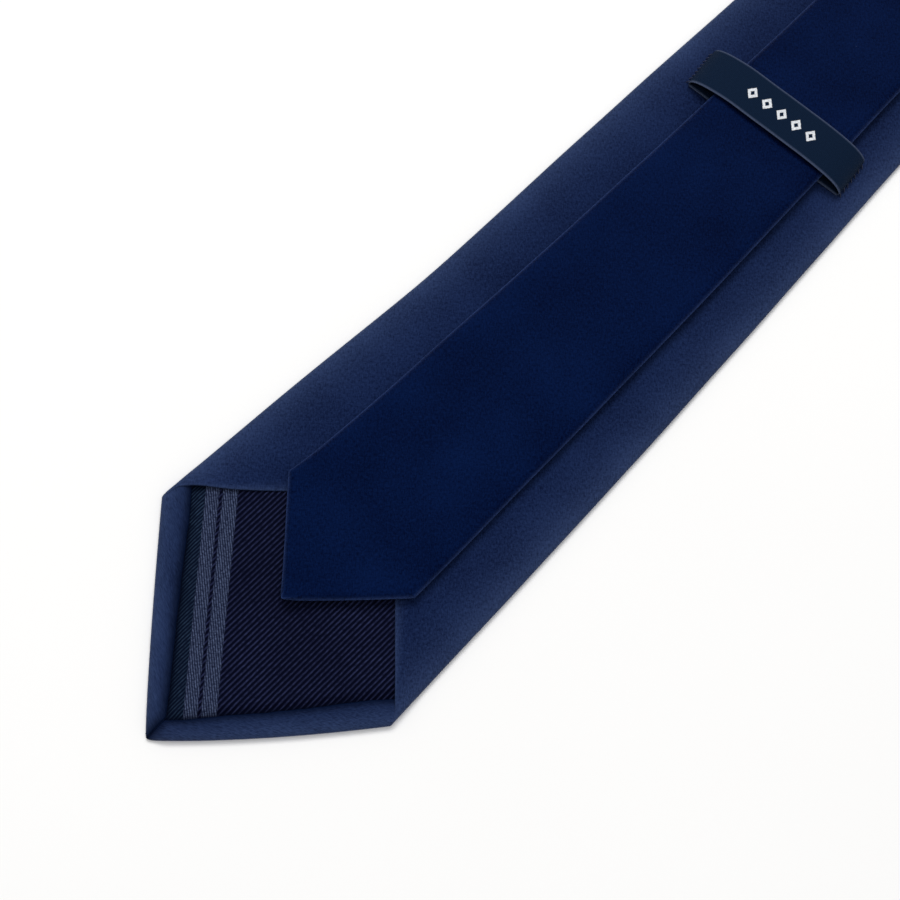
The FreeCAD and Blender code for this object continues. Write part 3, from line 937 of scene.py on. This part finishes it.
def satin_piece(name, blade, rows, seam, pointed=False):
    """One length of the outer cloth; the two blades' lengths also have a point."""
    cloth = Cloth()
    if pointed:
        pointed_cloth(cloth, blade)
    rolled_cloth(cloth, blade, rows, seam)
    return cloth.build(name, [SATIN_FRONT, SATIN_BACK], CLOTH)


def fold_rows(seam, straight_end, top):
    """Distances from a seam over the straight part and round half the fold."""
    return np.concatenate([seam_rows(seam, straight_end - 6), spread(straight_end - 4, top, 14)])


def make_cloths():
    tail_straight = TAIL_TIP_RUN - FOLD_START - BEND_LENGTH
    lower_rows = fold_rows(WIDE_SEAM, FOLD_START, FOLD_TOP_RUN)
    upper_rows = fold_rows(TAIL_SEAM, tail_straight, TAIL_TIP_RUN - FOLD_TOP_RUN)
    return (
        satin_piece("wide_blade_cloth", WIDE, flap_rows(WIDE, WIDE_SEAM), WIDE_SEAM, pointed=True),
        satin_piece("neck_cloth_lower", WIDE, lower_rows, WIDE_SEAM),
        satin_piece("neck_cloth_upper", TAIL, upper_rows, TAIL_SEAM),
        satin_piece("tail_cloth", TAIL, flap_rows(TAIL, TAIL_SEAM), TAIL_SEAM, pointed=True))


def keeper_frame(x, y, z):
    """Points of the keeper, which lies askew across the blade, in the row frame."""
    cos, sin = math.cos(KEEPER_SKEW), math.sin(KEEPER_SKEW)
    run = KEEPER_MIDDLE[0] - WIDE_TIP_X
    return np.stack([
        KEEPER_MIDDLE[0] + x * cos - y * sin,
        wander(run) + x * sin + y * cos,
        np.broadcast_to(z, np.shape(x * y))], -1)


def keeper_path():
    """The line of the band across the tie: over the tail, and back under it."""
    low = KEEPER_LOW[2] + KEEPER_THICK / 2
    crown = KEEPER_HIGH[2] - KEEPER_THICK / 2
    inner = KEEPER_HALF - KEEPER_THICK / 2
    path = []
    for t in spread(-1, 1, OVER_POINTS):
        across = math.sin(math.pi / 2 * t)
        level = math.sqrt(max(0.0, 1 - abs(across) ** 4))
        path.append((inner * across, low + KEEPER_FOOT + (crown - low - KEEPER_FOOT) * level))
    for t in spread(1, -1, UNDER_POINTS):
        y = (inner - 0.25) * t
        path.append((y, low + 0.3 * math.exp(-(y / 8.0) ** 2)))
    return np.array(path)


def make_keeper():
    """The band: a ring whose path lies across the tie and whose section is flat."""
    path = keeper_path()
    after = np.roll(path, -1, 0) - np.roll(path, 1, 0)
    normal = np.stack([-after[:, 1], after[:, 0]], -1) / np.hypot(after[:, 0], after[:, 1])[:, None]
    steps = np.hypot(*(np.roll(path, -1, 0) - path).T)
    along = np.concatenate([[0], np.cumsum(steps)])
    along = along - along[OVER_POINTS // 2]
    angle = 2 * math.pi * np.arange(BAND_POINTS) / BAND_POINTS
    across = KEEPER_WIDTH / 2 * np.sign(np.cos(angle)) * np.abs(np.cos(angle)) ** 0.4
    bead = smooth((np.abs(across) - KEEPER_WIDTH / 2 + 1.0) / 0.5) * 0.35 + 0.85
    rise = KEEPER_THICK / 2 * np.sin(angle) * bead
    closed = np.concatenate([path, path[:1]])
    normal = np.concatenate([normal, normal[:1]])
    wavy = 0.12 * waves(closed[:, :1], 0.0, 9.0, 4.0)
    x = across[None] + wavy
    y = closed[:, :1] + normal[:, :1] * rise[None]
    z = closed[:, 1:] + normal[:, 1:] * rise[None]
    cloth = Cloth()
    cloth.add(keeper_frame(x, y, z), along[:, None], across[None], wrap=True)
    return cloth.build("keeper_band_ring", [KEEPER_BAND], weld=0.01)


def keeper_stitches():
    """Whipped stitches that hold the band's two ends to the blade."""
    lines = []
    for side, count in ((1, 9), (-1, 7)):
        for i in range(count):
            x = (KEEPER_WIDTH / 2 - 1.0) * (2 * i / (count - 1) - 1)
            loose = 0.5 * noise.noise(Vector((x, side * 9.0, 2.0)))
            out = side * (KEEPER_HALF + 0.7 + (loose if side > 0 else 0.0))
            start = keeper_frame(x - 0.5, out, THICKNESS - 0.1)
            end = keeper_frame(x + 0.4 + loose, side * (KEEPER_HALF - 0.4), THICKNESS + 0.75)
            lines.append(hump(start, end, 0.28))
    return threads("keeper_stitch_threads", lines, 0.13)


def threads(name, lines, radius):
    """Short threads as one mesh: each line is a list of points, in millimetres."""
    cloth = Cloth()
    sides = 8
    for line in lines:
        tangent = np.gradient(line, axis=0)
        tangent /= np.linalg.norm(tangent, axis=1)[:, None]
        side_way = np.cross(tangent, [0, 0, 1.0])
        side_way /= np.maximum(np.linalg.norm(side_way, axis=1)[:, None], 1e-6)
        up = np.cross(side_way, tangent)
        share = np.abs(np.linspace(-1, 1, len(line)))
        thin = radius * np.sqrt(np.clip(1.0 - share ** 6, 0.02, 1.0))
        angle = 2 * math.pi * np.arange(sides) / sides
        ring = (np.cos(angle)[None, :, None] * side_way[:, None] + np.sin(angle)[None, :, None] * up[:, None])
        points = line[:, None] + ring * thin[:, None, None]
        along = np.concatenate([[0], np.cumsum(np.linalg.norm(np.diff(line, axis=0), axis=1))])
        cloth.add(points, along[:, None], (radius * angle)[None], wrap=True)
    piece = cloth.build(name, [THREAD], weld=0)
    close_ends(piece, sides)
    return piece


def hump(start, end, rise):
    """A short thread that comes up, lies over the cloth and goes down again."""
    t = spread(0, 1, 7)
    line = np.outer(1 - t, start) + np.outer(t, end)
    line[:, 2] += rise * np.sin(math.pi * t)
    return line


def cloth_hump(run, y, run_end, y_end, height, rise):
    """A short thread between two places of the cloth, arched away from its front."""
    t = spread(0, 1, 9)
    return to_row(run + (run_end - run) * t, y + (y_end - y) * t, height + rise * np.sin(math.pi * t))


def bar_tack(name, blade, distance):
    """Long strands across the meeting of the flaps, with short wraps round them."""
    across = spread(-TACK_HALF, TACK_HALF, 19)
    level = soft_top(blade, np.full_like(across, distance), 1, across).max() + 0.02
    lines = []
    for i in range(4):
        at = blade.run(distance + 0.35 * i)
        lines.append(cloth_hump(at, -TACK_HALF, at, TACK_HALF, level, 0.08))
    for i in range(15):
        y = -3.9 + 7.8 * i / 14
        start, end = blade.run(distance - 0.35), blade.run(distance + 1.4)
        lines.append(cloth_hump(start, y, end, y + 0.25, level, 0.12))
    return threads(name, lines, 0.13)


def slip_stitch(name, start, end):
    """One long thread that zigzags between the two flaps, under the lap."""
    count = int(abs(end - start) / 1.5)
    run = spread(start, end, count)
    y = 1.1 * np.sin(SLIP_TURN * run)
    height = THICKNESS - 0.28 + 0.05 * np.cos(SLIP_TURN * run)
    return threads(name, [to_row(run, y, height)], 0.10)


def seam_allowances(name, blade, distance):
    """The four-cornered strips of a bias seam, pressed open on the inside of the front."""
    cloth = Cloth()
    half = half_width(blade.run(distance)) - 2.6
    across = spread(-half, half, 30)
    out = spread(0.25, ALLOWANCE, 7)
    for side in (1, -1):
        run = blade.run(distance) + blade.direction * (SEAM_LEAN * across[None] + side * out[:, None])
        height = ALLOWANCE_HEIGHT + 0.05 * waves(run, across[None], 6.0, 5.0)
        cloth.add(to_row(run, across[None], height), run, across[None], flip=side * blade.direction < 0)
    return cloth.build(name, [SATIN_BACK], thickness=0.2, weld=0)


def make_label():
    """A blank woven ribbon, its two ends turned under and sewn down."""
    length = LABEL_HIGH[0] - LABEL_LOW[0]
    half = (LABEL_HIGH[1] - LABEL_LOW[1]) / 2
    distance = spread(0, length, 40) + LABEL_LOW[0] - TAIL_TIP_X
    across = spread(-half, half, 26)
    run, y = TAIL.run(distance)[:, None], across[None]
    edge = np.minimum(distance - distance[0], distance[-1] - distance)[:, None]
    height = THICKNESS + 0.40 - 0.25 * (1 - smooth(edge / 0.7)) + 0.05 * waves(run, y, 14.0, 6.0)
    cloth = Cloth()
    cloth.add(to_row(run, y, height), run, y, flip=True)
    ribbon = cloth.build("fibre_label_ribbon", [LABEL], thickness=0.15, weld=0)
    lines = [
        cloth_hump(TAIL.run(at), side, TAIL.run(at), side + 1.1, THICKNESS + LABEL_RISE, 0.15)
        for at in (distance[0] + 0.8, distance[-1] - 0.8)
        for side in [(half - 1.0) * (2 * i / 8 - 1) for i in range(9)]]
    return ribbon, threads("fibre_label_stitches", lines, 0.09)


def row_point(from_tip):
    return (WIDE_TIP_X + from_tip) * MM, 0.0, 0.0


def dress(piece, body, nodes=()):
    """Attaches a piece to the body that it rides on, or else bakes its place into its mesh, and hides its CAD
    nodes.
    """
    if isinstance(body, str):
        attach(piece, body)
    else:
        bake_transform(piece)
    if nodes:
        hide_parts(*nodes)
    return piece


# ---- the scene

def make_camera():
    eye = Vector((CAMERA_EYE[0] + WIDE_TIP_X, *CAMERA_EYE[1:])) * MM
    forward = Vector(CAMERA_FORWARD).normalized()
    right = forward.cross(Vector(CAMERA_UP)).normalized()
    up = right.cross(forward)
    camera = new_object("camera", bpy.data.cameras.new("camera"))
    camera.data.lens = CAMERA_FOCUS * camera.data.sensor_width
    camera.matrix_world = Matrix.Translation(eye) @ Matrix((right, up, -forward)).transposed().to_4x4()
    bpy.context.scene.camera = camera


def area_light(name, aim, away, size, power, color=(1.0, 1.0, 1.0)):
    light = bpy.data.lights.new(name, "AREA")
    light.shape = "RECTANGLE"
    light.size, light.size_y = size
    light.energy = power
    light.color = color
    lamp = new_object(name, light)
    lamp.location = Vector(aim) + Vector(away)
    lamp.rotation_euler = (-Vector(away)).to_track_quat("-Z", "Y").to_euler()


def make_stage():
    bpy.ops.mesh.primitive_plane_add(size=6.0, location=(0, 0, 0))
    floor = bpy.context.object
    floor.name = "floor"
    floor.data.materials.append(paper_floor("pale_floor"))
    world = bpy.data.worlds.new("studio")
    bpy.context.scene.world = world
    world.use_nodes = True
    background = world.node_tree.nodes["Background"].inputs
    background["Color"].default_value = (1.0, 1.0, 1.0, 1.0)
    background["Strength"].default_value = 0.34
    aim = row_point(120.0)
    area_light("window", aim, away=(0.7, 0.9, 1.9), size=(1.2, 0.8), power=25.0, color=(1.0, 0.99, 0.97))
    area_light("overhead", aim, away=(-0.2, -0.1, 2.4), size=(2.0, 2.0), power=20.0)
    bpy.context.scene.view_settings.view_transform = "Standard"


def make_pieces():
    wide, lower, upper, tail = make_cloths()
    dress(wide, WIDE_BEND, ["wide_shell", "wide_tip_shell"])
    dress(lower, LOWER_ROLL, ["neck_lower_shell", "neck_fold_shell"])
    dress(upper, UPPER_ROLL, ["neck_upper_shell", "neck_fold_shell"])
    dress(tail, TAIL_BEND, ["tail_shell", "tail_tip_shell"])

    linings = make_linings()
    wide_tipping = tipping(WIDE, "wide_tipping_cloth", TIPPING_STRIPED, 115.0, True)
    dress(wide_tipping, WIDE_BEND, ["wide_tipping", "wide_tip_tipping"])
    tail_tipping = tipping(TAIL, "tail_tipping_cloth", TIPPING_PLAIN, 70.0, False)
    dress(tail_tipping, "tail_tip", ["tail_tipping"])

    keeper = make_keeper()
    dress(keeper, "wide_blade", ["keeper_loop"])
    dress(keeper_stitches(), "wide_blade", ["keeper_stitches"])
    wide_allowance = seam_allowances("wide_seam_allowances", WIDE, WIDE_SEAM)
    dress(wide_allowance, "wide_blade", ["wide_neck_seam"])
    tail_allowance = seam_allowances("tail_seam_allowances", TAIL, TAIL_SEAM)
    dress(tail_allowance, "tail", ["tail_neck_seam"])
    make_threads()
    label, label_stitches = make_label()
    dress(label, "tail_tip", ["fibre_label"])
    dress(label_stitches, "tail_tip")


def make_threads():
    """The two tacks, and the slip stitch in its three lengths."""
    tail_tack = cad_box("tail_bar_tack")[0][0] - TAIL_TIP_X
    neck_end = run_above(TAIL_SLIP_START + SLIP_GAP)
    for piece, body, *nodes in (
            (bar_tack("wide_bar_tack_threads", WIDE, WIDE_TACK), "wide_blade", "wide_bar_tack"),
            (bar_tack("tail_bar_tack_threads", TAIL, tail_tack), "tail_tip", "tail_bar_tack"),
            (slip_stitch("wide_slip_thread", WIDE_TACK + 2.0, SLIP_SPLIT), LOWER_ROLL, "wide_slip_stitch"),
            (slip_stitch("neck_slip_thread", SLIP_SPLIT, neck_end), "neck_fold", "neck_fold_slip_stitch"),
            (slip_stitch("tail_slip_thread", run_above(TAIL_SLIP_START), TAIL.run(50.0)), TAIL_BEND,
             "tail_slip_stitch", "tail_tip_slip_stitch")):
        dress(piece, body, nodes)


def make_linings():
    """The interlining, cut where the tie rolls, with a small gap between its lengths."""
    lower_end, tail_start = LOWER_ROLL[2], run_above(UPPER_ROLL[3])
    lengths = (
        ("wide_lining", WIDE, spread(LINING_BACK, lower_end, 130), WIDE_BEND,
         ["wide_interlining", "wide_tip_interlining"]),
        ("neck_lining_lower", WIDE, spread(lower_end + LINING_GAP, FOLD_TOP_RUN, 60), LOWER_ROLL,
         ["neck_fold_interlining"]),
        ("neck_lining_upper", TAIL, spread(FOLD_TOP_RUN, tail_start - LINING_GAP, 60), UPPER_ROLL,
         ["neck_fold_interlining"]),
        ("tail_lining", TAIL, spread(tail_start, TAIL.run(LINING_BACK), 130), TAIL_BEND,
         ["tail_interlining", "tail_tip_interlining"]))
    return [dress(slab(name, blade, runs), body, nodes)
            for name, blade, runs, body, nodes in lengths]


make_camera()
make_stage()
make_pieces()
